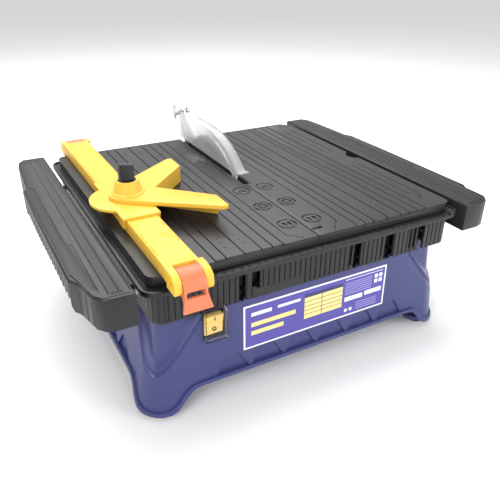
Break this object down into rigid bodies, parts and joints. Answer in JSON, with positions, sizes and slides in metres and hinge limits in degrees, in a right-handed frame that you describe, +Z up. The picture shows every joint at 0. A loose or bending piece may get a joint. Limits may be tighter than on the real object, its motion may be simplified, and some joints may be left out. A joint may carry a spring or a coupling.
{
  "type": "tile cutter",
  "caption": "Bench tile saw: grey ribbed table over a flared blue base, sliding side wings, yellow fence with mitre guide, clear guard over a diamond blade.",
  "frame": {"origin": "on the ground under the middle of the whole footprint, 3.75 mm left of the table's middle because the left wing is drawn out", "axes": "+X to the operator's right, +Y away from the operator, +Z up"},
  "size_m": [0.5236, 0.472, 0.243],
  "materials": {
    "blue_plastic": "fine-grained moulded surface",
    "black_plastic": "fine-grained moulded surface, worn",
    "grey_plate": "moulded, ribbed top",
    "yellow_plastic": "satin moulded",
    "orange_plastic": "satin moulded",
    "knob_black": "semi-gloss",
    "clear_plastic": "frosted clear",
    "label_sheet": "printed film",
    "rocker_amber": "translucent amber",
    "rubber": "matte",
    "tray_plastic": "smooth",
    "zinc_steel": "zinc plated",
    "bright_steel": "ground",
    "blade_steel": "tensioned disc with sintered rim",
    "motor_paint": "black enamel",
    "motor_alloy": "die cast",
    "lamination": "laminated",
    "bush_plastic": "natural"
  },
  "bodies": {
    "base": {"base_tub": "blue_plastic", "rubber_feet": "rubber", "rating_label": "label_sheet", "water_tray": "tray_plastic", "cable_gland": "black_plastic", "table_frame": "black_plastic", "frame_screws": "zinc_steel", "plate_screws": "zinc_steel", "rod_sleeves": "bush_plastic", "left_table_plate": "grey_plate", "tilt_pins": "bright_steel", "motor_housing": "motor_paint", "stator_core": "lamination", "motor_front_bell": "motor_alloy", "motor_rear_bell": "motor_alloy", "motor_bearings": "bright_steel", "motor_bracket": "zinc_steel", "motor_screws": "zinc_steel", "run_capacitor": "tray_plastic", "splash_wall": "tray_plastic", "riving_knife": "bright_steel", "knife_bracket": "motor_alloy", "knife_clamp": "zinc_steel", "knife_screws": "zinc_steel", "guard_bolt": "zinc_steel", "guard_nut": "zinc_steel", "switch_body": "tray_plastic", "switch_cover": "clear_plastic"},
    "spindle": {"diamond_blade": "blade_steel", "inner_flange": "bright_steel", "outer_flange": "bright_steel", "arbor_nut": "zinc_steel", "motor_shaft": "bright_steel", "rotor_core": "lamination", "cooling_fan": "tray_plastic"},
    "tilting_plate": {"right_table_plate": "grey_plate"},
    "stay": {"tilt_stay": "zinc_steel"},
    "left_extension": {"left_wing": "black_plastic", "left_wing_rods": "bright_steel"},
    "right_extension": {"right_wing": "black_plastic", "right_wing_rods": "bright_steel"},
    "fence": {"fence_rail": "yellow_plastic", "lever_pins": "bright_steel"},
    "front_clamp": {"front_lever": "orange_plastic"},
    "rear_clamp": {"rear_lever": "orange_plastic"},
    "mitre_slide": {"mitre_saddle": "yellow_plastic"},
    "mitre_head": {"mitre_vee": "yellow_plastic"},
    "mitre_lock": {"mitre_knob": "knob_black"},
    "guard": {"blade_guard": "clear_plastic"},
    "rocker": {"rocker_switch": "rocker_amber"}
  },
  "joints": [
    {"name": "spindle_spin", "type": "hinge", "parent": "base", "child": "spindle", "pos_m": [0.00375, 0.0854, 0.1265], "axis": [1, 0, 0], "continuous": true},
    {"name": "plate_tilt", "type": "hinge", "parent": "base", "child": "tilting_plate", "pos_m": [0.00675, 0, 0.179], "axis": [0, -1, 0], "range_deg": [0, 45]},
    {"name": "stay_swing", "type": "hinge", "parent": "base", "child": "stay", "pos_m": [0.08675, 0, 0.1674], "axis": [0, -1, 0], "range_deg": [0, 90]},
    {"name": "left_wing_slide", "type": "slide", "parent": "base", "child": "left_extension", "axis": [-1, 0, 0], "range_m": [-0.007, 0.15]},
    {"name": "right_wing_slide", "type": "slide", "parent": "base", "child": "right_extension", "axis": [1, 0, 0], "range_m": [0, 0.15]},
    {"name": "fence_slide", "type": "slide", "parent": "base", "child": "fence", "axis": [1, 0, 0], "range_m": [-0.02, 0.028]},
    {"name": "front_clamp_swing", "type": "hinge", "parent": "fence", "child": "front_clamp", "pos_m": [-0.16075, -0.217, 0.188], "axis": [-1, 0, 0], "range_deg": [0, 55]},
    {"name": "rear_clamp_swing", "type": "hinge", "parent": "fence", "child": "rear_clamp", "pos_m": [-0.16075, 0.217, 0.188], "axis": [1, 0, 0], "range_deg": [0, 55]},
    {"name": "mitre_travel", "type": "slide", "parent": "fence", "child": "mitre_slide", "axis": [0, 1, 0], "range_m": [-0.1, 0.13]},
    {"name": "mitre_turn", "type": "hinge", "parent": "mitre_slide", "child": "mitre_head", "pos_m": [-0.15925, -0.035, 0.204], "axis": [0, 0, 1], "range_deg": [-45, 45]},
    {"name": "mitre_knob_turn", "type": "hinge", "parent": "mitre_head", "child": "mitre_lock", "pos_m": [-0.15925, -0.035, 0.229], "axis": [0, 0, 1], "continuous": true},
    {"name": "guard_lift", "type": "hinge", "parent": "base", "child": "guard", "pos_m": [0.00375, 0.188, 0.231], "axis": [-1, 0, 0], "range_deg": [0, 45]},
    {"name": "rocker_press", "type": "hinge", "parent": "base", "child": "rocker", "pos_m": [-0.12675, -0.184, 0.1115], "axis": [-1, 0, 0], "range_deg": [0, 16]}
  ],
  "couplings": [
    {"joint": "stay_swing", "follows": "plate_tilt", "ratio": 2}
  ]
}
